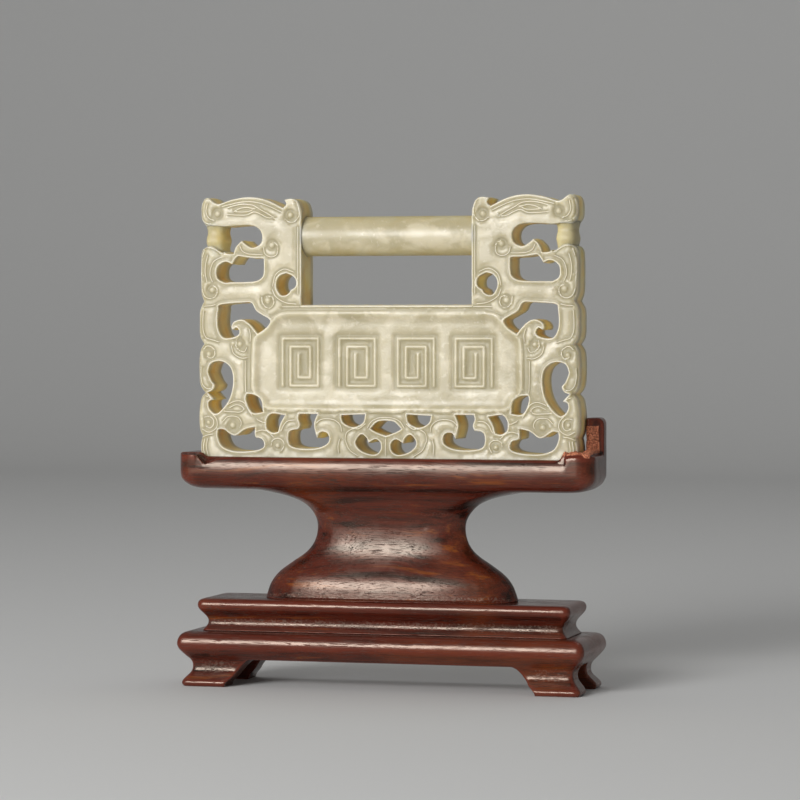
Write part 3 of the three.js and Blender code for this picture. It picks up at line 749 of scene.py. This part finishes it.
stone_mesh = bpy.data.meshes.new("carved_jade_plaque")
stone_mesh.from_pydata((np.vstack(stone_points) * mm).tolist(), [], stone_faces)
shaded = np.clip(np.concatenate(shaded), 0, 1)
mark_points(stone_mesh, "hollow", np.r_[front_hollow_shade, back_hollow_shade, shaded])
mark_points(stone_mesh, "polished_edge", np.r_[front_edge_highlight, back_edge_highlight, np.zeros(offset - 2 * count)])
mark_points(stone_mesh, "wall_ochre_and_bar_shade", np.concatenate(wall_ochre_and_bar_shade_marks))
tidied = bmesh.new()
tidied.from_mesh(stone_mesh)
bmesh.ops.holes_fill(tidied, edges=[edge for edge in tidied.edges if edge.is_boundary], sides=4)
bmesh.ops.recalc_face_normals(tidied, faces=tidied.faces)
tidied.to_mesh(stone_mesh)
tidied.free()
stone_mesh.shade_smooth()
stone_mesh.materials.append(jade_finish)
carved_plaque = placed("carved_jade_plaque", stone_mesh)
for drawing in drawings.values():
    bpy.data.objects.remove(drawing)
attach(carved_plaque, "plaque")
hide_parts("jade_plaque")

# Jade plaque: the stone's finish
# Pale nephrite, clouded and slightly flecked. Light enters it a little way. The ground is dull in the
# hollows, and darker there as painted shade; edges, crests and pearls are painted pale as highlights. The
# openings' walls are ochre with old wax, and the bar's top and bottom and the struts are given painted shade.


def mixed(tree, share, under, over, blend="MIX"):
    """Two colours laid over each other by a share."""
    node = node_of(tree, "ShaderNodeMix", {0: share, 6: under, 7: over}, data_type="RGBA", blend_type=blend)
    return node.outputs[2]


def opened(material):
    """A material's node tree, and the place on the object that its nodes start from."""
    material.use_nodes = True
    tree = material.node_tree
    return tree, node_of(tree, "ShaderNodeTexCoord", {}).outputs["Object"]


def surface(tree, colour, roughness, height, strength, distance, **others):
    """Gives a material's shader its colour, roughness and fine relief, and other inputs by name."""
    bumped = node_of(tree, "ShaderNodeBump", {"Height": height, "Strength": strength, "Distance": distance})
    inputs = {name.replace("_", " "): value for name, value in others.items()}
    inputs |= {"Base Color": colour, "Roughness": roughness, "Normal": bumped.outputs["Normal"]}
    fed(tree, tree.nodes["Principled BSDF"], inputs)


def marked(tree, name):
    """A mark kept on the mesh's points, from 0 to 1."""
    return node_of(tree, "ShaderNodeAttribute", {}, attribute_name=name).outputs["Fac"]


tree, place = opened(jade_finish)
clouds = ranged(tree, noise(tree, place, 55, 5.0, 0.8), 0.36, 0.66)
stone = mixed(tree, clouds, (0.42, 0.367, 0.23, 1), (0.54, 0.48, 0.325, 1))
pale_patches = ranged(tree, noise(tree, place, 210, 3.0, 0.6), 0.48, 0.66, 0.0, 0.75)
stone = mixed(tree, pale_patches, stone, (0.65, 0.585, 0.43, 1))
flecks = ranged(tree, noise(tree, place, 900, 2.0), 0.62, 0.74, 0.0, 0.35)
stone = mixed(tree, flecks, stone, (0.74, 0.69, 0.56, 1))
# Painted shade: the hollows, and the shaded bar and struts, are coloured darker olive.
hollow_shade = ranged(tree, marked(tree, "hollow"), 0.08, 0.8, 0.0, 0.8)
stone = mixed(tree, hollow_shade, stone, (0.34, 0.295, 0.165, 1))
# Painted highlight: edges, crests, pearls and the cartouche's rim are coloured pale.
rubbed = ranged(tree, marked(tree, "polished_edge"), 0.35, 1.0, 0.0, 0.75)
stone = mixed(tree, rubbed, stone, (0.83, 0.755, 0.58, 1))
# Ochre of old wax on the openings' walls; on the bar's top and bottom and on the struts the same ochre is
# painted shade.
sawn = marked(tree, "wall_ochre_and_bar_shade")
ochre_patches = noise(tree, place, 240, 4.0, 0.4)
ochre = mixed(tree, ranged(tree, ochre_patches, 0.35, 0.65), (0.86, 0.66, 0.23, 1), (0.88, 0.77, 0.42, 1))
stone = mixed(tree, sawn, stone, ochre)
dulled = reckoned(tree, "MAXIMUM", hollow_shade, sawn)
roughness = ranged(tree, dulled, 0.0, 1.0, 0.38, 0.53)
smears = ranged(tree, noise(tree, place, 130, 4.0, 1.2), 0.35, 0.7, -0.05, 0.09)
roughness = reckoned(tree, "ADD", roughness, smears)
grit = noise(tree, place, 2600, 3.0)
facets = noise(tree, place, 380, 3.0, 0.5)
skin = reckoned(tree, "MULTIPLY_ADD", facets, 3.0, grit)
glow = {"Subsurface_Weight": 0.6, "Subsurface_Radius": (1, 0.88, 0.6), "Subsurface_Scale": 0.0035}
surface(tree, stone, roughness, skin, 0.6, 0.00006, IOR=1.6, **glow)

# Hardwood stand: how its wood is worked
# Each block is sawn, moulded with scrapers and rubbed with wax. Hands have rounded every edge. A fine
# copy of the CAD block is eased and dented here, and keeps marks of where it is worn or sheltered.


def eased_block(node_name, voxel, strokes):
    """A CAD block's merged copy as a fine mesh with slightly rounded edges."""
    welded = welded_copy(node_name)
    bmesh.ops.recalc_face_normals(welded, faces=welded.faces)
    mesh = bpy.data.meshes.new(node_name + "_copy")
    welded.to_mesh(mesh)
    welded.free()
    block = placed(node_name + "_copy", mesh)
    fine = block.modifiers.new("fine", "REMESH")
    fine.mode = "VOXEL"
    fine.voxel_size = voxel * mm
    rubbed = block.modifiers.new("rubbed", "SMOOTH")
    rubbed.factor = 0.5
    rubbed.iterations = strokes
    evaluated = block.evaluated_get(bpy.context.evaluated_depsgraph_get())
    fine_mesh = bpy.data.meshes.new_from_object(evaluated)
    bpy.data.objects.remove(block)
    return fine_mesh


def hand_working_tree():
    """The tree that dents a wooden block, and marks its worn edges and its sheltered corners."""
    floats = ("Scraper Waves", "Dents", "Wear Reach", "Fillet Height", "Fillet Reach", "Fillet", "Seed")
    asked = {"Geometry": ("Block",), "Float": floats, "Material": ("Wood",)}
    tree, given, result = tree_with("hand_working", "GeometryNodeTree", asked, {"Geometry": ("Worked",)})
    node, math_of, vector = (partial(helper, tree) for helper in (node_of, reckoned, vector_of))
    place = node("GeometryNodeInputPosition", {}).outputs[0]
    facing = node("GeometryNodeInputNormal", {}).outputs[0]

    def blurred(iterations):
        inputs = {"Value": place, "Iterations": iterations}
        return node("GeometryNodeBlurAttribute", inputs, data_type="FLOAT_VECTOR").outputs[0]

    waves = noise(tree, vector("MULTIPLY", place, (0.3, 1, 1)), 240.0, 1.0, W=given["Seed"])
    waves = math_of("MULTIPLY", math_of("SUBTRACT", waves, 0.5), given["Scraper Waves"])
    spots = noise(tree, place, 330.0, 0.0, W=given["Seed"])
    pressed = node("ShaderNodeMapRange", {"Value": spots, "From Min": 0.76, "From Max": 0.86}).outputs[0]
    dents = math_of("MULTIPLY", pressed, given["Dents"])
    push = math_of("SUBTRACT", waves, dents)
    level = node("ShaderNodeSeparateXYZ", {0: place}).outputs["Z"]
    away = math_of("ABSOLUTE", math_of("SUBTRACT", level, given["Fillet Height"]))
    inputs = {"Value": away, "From Max": given["Fillet Reach"], "To Min": given["Fillet"], "To Max": 0.0}
    share = node("ShaderNodeMapRange", inputs, interpolation_type="SMOOTHSTEP").outputs["Result"]
    melted = vector("SCALE", vector("SUBTRACT", blurred(70), place), share)
    moved = vector("ADD", vector("SCALE", facing, push), melted)
    bulge = vector("DOT_PRODUCT", vector("SUBTRACT", place, blurred(14)), facing)
    bulge = math_of("DIVIDE", bulge, given["Wear Reach"])
    sheltered = math_of("MULTIPLY", bulge, math_of("SUBTRACT", share, 1.0))
    marks = {"worn": bulge, "sheltered": sheltered}
    marks = {name: node("ShaderNodeClamp", {"Value": value}).outputs[0] for name, value in marks.items()}
    worked = worked_shape(tree, given["Block"], marks, {"Offset": moved}, given["Wood"])
    tree.links.new(worked, result["Worked"])
    return tree


hand_working = hand_working_tree()


def work_piece(name, node_name, mesh, wood, waves, dents, seed, fillet_height=0.0, fillet=0.0):
    """Makes the wooden piece that stands for a CAD block. A fillet softens it round one height."""
    carrier = placed(name + "_blank", mesh)
    values = {
        "Scraper Waves": waves * mm,
        "Dents": dents * mm,
        "Wear Reach": 0.11 * mm,
        "Fillet Height": fillet_height * mm,
        "Fillet Reach": 2.6 * mm,
        "Fillet": fillet,
        "Seed": seed,
        "Wood": wood,
    }
    worked = tree_result(carrier, hand_working, values)
    bpy.data.objects.remove(carrier)
    worked.name = name
    worked.shade_smooth()
    piece = placed(name, worked)
    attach(piece, "stand")
    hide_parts(node_name)


# Hardwood stand: grain, wax and dust
# Dark red hardwood with near-black streaks and short open pores along the grain. Wax shines on the worn
# edges, and dust and old polish lie dull in the mouldings' corners.


def wood_grain_group():
    """Grain for every wood here: streaks, fine fibres and open pores that run along X."""
    asked = {"Vector": ("Place",), "Float": ("Streak Size", "Pore Size", "Pore Share")}
    found = {"Float": ("Streaks", "Fibres", "Pores")}
    group, given, result = tree_with("wood_grain", "ShaderNodeTree", asked, found)
    drift = reckoned(group, "MULTIPLY", noise(group, given["Place"], 26.0, 2.0), 0.006)
    lifted = node_of(group, "ShaderNodeCombineXYZ", {"Y": drift, "Z": drift}).outputs[0]
    bent = vector_of(group, "ADD", given["Place"], lifted)

    def drawn_out(stretch, scale, detail, **others):
        """Noise drawn out along the grain."""
        inputs = {"Vector": bent, "Scale": (stretch, 1.0, 1.0)}
        return noise(group, node_of(group, "ShaderNodeMapping", inputs).outputs[0], scale, detail, **others)

    streaks = drawn_out(0.05, given["Streak Size"], 4.0, distortion=0.15, Roughness=0.62)
    fibres = drawn_out(0.035, 3600.0, 3.0, Roughness=0.65)
    pores = drawn_out(0.03, given["Pore Size"], 1.0)
    crowd = reckoned(group, "MULTIPLY", drawn_out(0.3, 160.0, 2.0), given["Pore Share"])
    edge = reckoned(group, "SUBTRACT", 0.82, crowd)
    pores = ranged(group, pores, edge, reckoned(group, "ADD", edge, 0.07))
    for name, value in (("Streaks", streaks), ("Fibres", fibres), ("Pores", pores)):
        group.links.new(value, result[name])
    return group


wood_grain = wood_grain_group()


def grain_in(tree, place, streak_size, pore_size, pore_share):
    """The grain group placed in a wood's material with its own sizes."""
    inputs = {"Place": place, "Streak Size": streak_size, "Pore Size": pore_size, "Pore Share": pore_share}
    return node_of(tree, "ShaderNodeGroup", inputs, node_tree=wood_grain).outputs


def raised_by(tree, value, share, base):
    """A base value with a share of another added to it."""
    return reckoned(tree, "MULTIPLY_ADD", value, share, base)


def mixed_value(tree, share, under, over):
    """Two values laid over each other by a share."""
    return node_of(tree, "ShaderNodeMix", {0: share, 2: under, 3: over}, data_type="FLOAT").outputs[0]


def waxed_redwood(name, raw):
    """The stand's wood. Where raw, it also shows the broken, unstained wood marked on the mesh."""
    material = bpy.data.materials.new(name)
    tree, place = opened(material)
    grain = grain_in(tree, place, 520.0, 9000.0, 0.38)
    dark_share = ranged(tree, grain["Streaks"], 0.46, 0.66)
    wood = mixed(tree, dark_share, (0.085, 0.014, 0.007, 1), (0.016, 0.0045, 0.0032, 1))
    warm = ranged(tree, noise(tree, place, 45, 2.0), 0.5, 0.68, 0.0, 0.55)
    wood = mixed(tree, warm, wood, (0.165, 0.036, 0.010, 1))
    amber = ranged(tree, grain["Streaks"], 0.43, 0.3, 0.0, 0.75)
    wood = mixed(tree, amber, wood, (0.22, 0.057, 0.009, 1))
    fibre_share = ranged(tree, grain["Fibres"], 0.42, 0.68, 0.0, 0.5)
    wood = mixed(tree, fibre_share, wood, (0.018, 0.005, 0.004, 1))
    wood = mixed(tree, ranged(tree, grain["Pores"], 0.0, 1.0, 0.0, 0.8), wood, (0.008, 0.0035, 0.003, 1))
    worn = ranged(tree, marked(tree, "worn"), 0.25, 0.95)
    wood = mixed(tree, ranged(tree, worn, 0.0, 1.0, 0.0, 0.5), wood, (0.15, 0.026, 0.014, 1))
    dusty = ranged(tree, marked(tree, "sheltered"), 0.2, 0.9)
    specks = ranged(tree, noise(tree, place, 2300, 3.0), 0.46, 0.7)
    dusty = reckoned(tree, "MULTIPLY", dusty, specks)
    wood = mixed(tree, ranged(tree, dusty, 0.0, 1.0, 0.0, 0.5), wood, (0.16, 0.11, 0.085, 1))
    roughness = ranged(tree, noise(tree, place, 180, 4.0, 1.0), 0.35, 0.7, 0.16, 0.27)
    roughness = raised_by(tree, grain["Pores"], 0.4, roughness)
    roughness = raised_by(tree, dusty, 0.35, roughness)
    height = raised_by(tree, grain["Pores"], -0.5, 1.0)
    height = raised_by(tree, grain["Fibres"], 0.25, height)
    height = raised_by(tree, dusty, 0.3, height)
    if raw:
        broken = ranged(tree, marked(tree, "broken"), 0.35, 0.65)
        crumbs = noise(tree, place, 4400, 3.0, 0.6)
        torn = mixed(tree, ranged(tree, crumbs, 0.38, 0.6), (0.25, 0.055, 0.025, 1), (0.85, 0.32, 0.17, 1))
        wood = mixed(tree, broken, wood, torn)
        roughness = mixed_value(tree, broken, roughness, 0.75)
        height = mixed_value(tree, broken, height, ranged(tree, crumbs, 0.3, 0.7, 0.0, 4.0))
    surface(tree, wood, roughness, height, 0.7, 0.00006, IOR=1.53, Specular_Tint=(1.0, 0.84, 0.7, 1))
    return material


# Cradle block
# Tray, groove and waisted stem are cut from one block, whose tenon is glued into the base. The tray's
# right end keeps half of a tall lip; its front half has broken away and shows raw orange wood.
stem_foot = 17
stem_head = 37.4
# How far the stem's front and back stand from its middle, at heights from its foot up.
stem_depths = ((17, 6.65), (19.9, 6.42), (21.2, 6.05), (24.7, 4.6), (26.2, 4.12), (28, 3.83), (30, 3.7))
groove_floor = foot_z
tray_half_x = 41.6
lip_inner_x = 38.5
lip_front = 0.6
lip_slant = 2.2


def scrape_stem(points):
    """Scrapes the stem's front and back to one flowing profile, and crowns them from end to end."""
    slice_height = 0.25
    level = points[:, 2]
    in_stem = (level > stem_foot - 0.2) & (level < stem_head)
    in_front = in_stem & (np.abs(points[:, 0]) < 5) & (points[:, 1] < 0)
    ring = ((level - stem_foot) / slice_height).astype(int)
    share = np.bincount(ring[in_front]).astype(float)
    share[share == 0] = np.nan
    heights = np.bincount(ring[in_front], level[in_front]) / share
    deepest = np.bincount(ring[in_front], -points[in_front, 1]) / share
    measured = ~np.isnan(heights)
    heights, deepest = heights[measured], deepest[measured]
    widest = np.array([np.abs(points[np.abs(level - height) < 0.15, 0]).max() for height in heights])
    fine = np.arange(14, 40, 0.05)
    wanted = np.interp(fine, *zip(*stem_depths))
    rubbing = np.exp(-0.5 * (np.arange(-48, 49) * 0.05 / 0.75) ** 2)
    wanted = np.convolve(np.pad(wanted, 48, mode="edge"), rubbing / rubbing.sum(), mode="valid")
    scraped = np.interp(heights, fine, wanted) / deepest
    scraped = 1 + (scraped - 1) * np.clip((35 - heights) / 4, 0, 1)
    from_middle = np.clip(np.abs(points[:, 0]) / np.interp(level, heights, widest), 0, 1)
    crown = (0.34 * from_middle**2 + 0.16 * from_middle**6) * np.clip((37 - level) / 3, 0, 1)
    points[:, 1] *= np.where(in_stem, np.interp(level, heights, scraped) - crown, 1)


def crumbled(points, size, seed):
    """Smooth random heights between -1 and 1 over the points, in grains of about the size."""
    phases = np.random.default_rng(seed).uniform(0, 2 * math.pi, (9, 4))
    total = np.zeros(len(points))
    for a, b, c, d in phases:
        wave = 2 * math.pi / (size * (0.8 + 0.6 * math.sin(a) ** 2))
        toward = np.array([math.cos(a) * math.cos(b), math.sin(b), math.sin(a) * math.cos(b)])
        total += np.sin(points @ toward * wave + c) * np.cos(points[:, ::-1] @ toward * wave * 0.7 + d)
    return total / 3


def break_lip(points):
    """Crumbles the stump of the right end's lip, and gives the share of raw wood at each point."""
    x, y, z = points.T
    line_y = lip_front + lip_slant * np.clip((x - lip_inner_x) / (tray_half_x - lip_inner_x), 0, 1)
    above_floor = z - groove_floor
    on_break = (x > lip_inner_x - 0.4) & (x < tray_half_x - 0.95) & (above_floor > 2.1) & (above_floor < 7.9)
    on_break &= np.abs(y - line_y) < 1.1
    stump = (x > 36.2) & (x < tray_half_x - 0.8) & (above_floor > 1.9) & (above_floor < 4.5)
    stump &= (y < line_y + 0.4) & (y > -7.3)
    ragged = crumbled(points, 0.75, 5) * 0.2 + crumbled(points, 2.2, 6) * 0.2
    points[:, 1] += np.where(on_break, ragged, 0)
    points[:, 2] += np.where(stump, 0.5 + ragged + 0.35 * np.clip((y + 7.3) / 6, 0, 1), 0)
    splinter = np.exp(-(((x - 36.0) / 0.65) ** 2) - ((y + 6.6) / 0.8) ** 2) * (above_floor > 1.3)
    points[:, 2] += 1.7 * splinter
    return np.clip((on_break | stump) + 0.8 * splinter, 0, 1)


def wear_rim(points):
    """Makes the rim's edge crisp, and splits its front open near the left end, beside an end worn lower."""
    x, y, z = points.T
    outer_side = np.clip(np.abs(y) - 6.2, 0, 1) * np.clip((36.4 - np.abs(x)) / 1.2, 0, 1)
    points[:, 1] += np.sign(y) * outer_side * np.interp(z, (43.9, 44.3, 44.6, 44.8), (0, 0.05, 0.2, 0.4))
    left_end = (x < -37.6) & (y < -6.5)
    points[:, 1] -= np.where(left_end, 0.06 * np.clip(z - 42.3, 0, 3), 0)
    split = np.interp(x, (-42, -38.3, -37.7, -35.7, -33.9, -31.3), (45.2, 45.1, 44.9, 43.2, 44.15, 44.8))
    split += 0.1 * crumbled(points, 0.9, 8)
    in_split = (x < -31.3) & (y < -5.4)
    points[:, 2] = np.where(in_split, np.minimum(points[:, 2], split), points[:, 2])


broken_redwood = waxed_redwood("broken_redwood", True)
cradle_mesh = eased_block("cradle_block", 0.29, 5)
points = points_of(cradle_mesh)
scrape_stem(points)
raw_share = break_lip(points)
wear_rim(points)
cradle_mesh.vertices.foreach_set("co", (points * mm).ravel())
mark_points(cradle_mesh, "broken", raw_share)
work_piece("cradle_tray_and_stem", "cradle_block", cradle_mesh, broken_redwood, 0.07, 0.05, 1.0, 38.2, 1.0)

# Base: upper and lower tier
# Two boards with mouldings scraped along their edges. The lower one stands on four bracket feet sawn
# from the same board.
redwood = waxed_redwood("redwood", False)
upper_mesh = eased_block("base_upper_tier", 0.27, 4)
work_piece("base_upper_board", "base_upper_tier", upper_mesh, redwood, 0.06, 0.06, 2.0)
lower_mesh = eased_block("base_lower_tier", 0.3, 4)
work_piece("base_footed_board", "base_lower_tier", lower_mesh, redwood, 0.07, 0.1, 3.0)

# Base pegs
# Two short pegs of a plain paler wood, split and whittled round, glued across the joint of the tiers.
peg_wood = bpy.data.materials.new("peg_wood")
tree, place = opened(peg_wood)
upright = node_of(tree, "ShaderNodeMapping", {"Vector": place, "Rotation": (0, math.pi / 2, 0)}).outputs[0]
grain = grain_in(tree, upright, 300.0, 2400.0, 0.3)
wood = mixed(tree, ranged(tree, grain["Streaks"], 0.4, 0.65), (0.46, 0.30, 0.14, 1), (0.30, 0.17, 0.065, 1))
wood = mixed(tree, ranged(tree, grain["Fibres"], 0.4, 0.7, 0.0, 0.5), wood, (0.20, 0.11, 0.045, 1))
wood = mixed(tree, grain["Pores"], wood, (0.08, 0.04, 0.02, 1))
roughness = ranged(tree, grain["Fibres"], 0.3, 0.7, 0.5, 0.7)
surface(tree, wood, roughness, grain["Fibres"], 0.6, 0.00005)
for name in ("base_peg_left", "base_peg_right"):
    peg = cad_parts[name]
    peg.data.materials.clear()
    peg.data.materials.append(peg_wood)

# Floor, backdrop and light
# A pale paper sweep runs from under the stand up behind it. A large soft lamp at the front left, with a
# brighter middle, does most of the work. A weak one overhead lifts the floor.
sweep_radius = 0.5
sweep_back = 0.9
sweep_points = [(-1.4, 0.0)]
for i in range(25):
    angle = math.pi / 2 * i / 24
    sweep_points.append((sweep_back + sweep_radius * math.sin(angle), sweep_radius * (1 - math.cos(angle))))
sweep_points.append((sweep_back + sweep_radius, 2.2))
sweep_verts = [(x, y, z) for y, z in sweep_points for x in (-2.5, 2.5)]
sweep_faces = [(2 * i, 2 * i + 1, 2 * i + 3, 2 * i + 2) for i in range(len(sweep_points) - 1)]
sweep_mesh = bpy.data.meshes.new("paper_sweep")
sweep_mesh.from_pydata(sweep_verts, [], sweep_faces)
sweep_mesh.shade_smooth()
paper_sweep = placed("paper_sweep", sweep_mesh)
pale_paper = bpy.data.materials.new("pale_paper")
pale_paper.use_nodes = True
paper_shader = pale_paper.node_tree.nodes["Principled BSDF"]
paper_shader.inputs["Base Color"].default_value = (0.72, 0.72, 0.71, 1)
paper_shader.inputs["Roughness"].default_value = 0.9
paper_shader.inputs["Specular IOR Level"].default_value = 0.1
sweep_mesh.materials.append(pale_paper)

for name, spot, aim, size, power in (
    ("softbox", (-0.34, -0.93, 0.27), (0, 0, 0.05), (0.72, 0.74), 3.2),
    ("softbox_middle", (-0.31, -0.92, 0.31), (0, 0, 0.05), (0.44, 0.36), 7.0),
    ("top_light", (0.0, 0.3, 0.9), (0, 0.2, 0.0), (0.7, 0.4), 0.8),
):
    lamp_data = bpy.data.lights.new(name, "AREA")
    lamp_data.shape = "RECTANGLE"
    lamp_data.energy = power
    lamp_data.size, lamp_data.size_y = size
    lamp = placed(name, lamp_data)
    lamp.location = spot
    lamp.rotation_euler = (Vector(aim) - Vector(spot)).to_track_quat("-Z", "Y").to_euler()
studio = bpy.data.worlds.new("studio")
studio.use_nodes = True
studio.node_tree.nodes["Background"].inputs["Color"].default_value = (0.8, 0.8, 0.8, 1)
studio.node_tree.nodes["Background"].inputs["Strength"].default_value = 0.25
bpy.context.scene.world = studio
bpy.context.scene.view_settings.view_transform = "Standard"
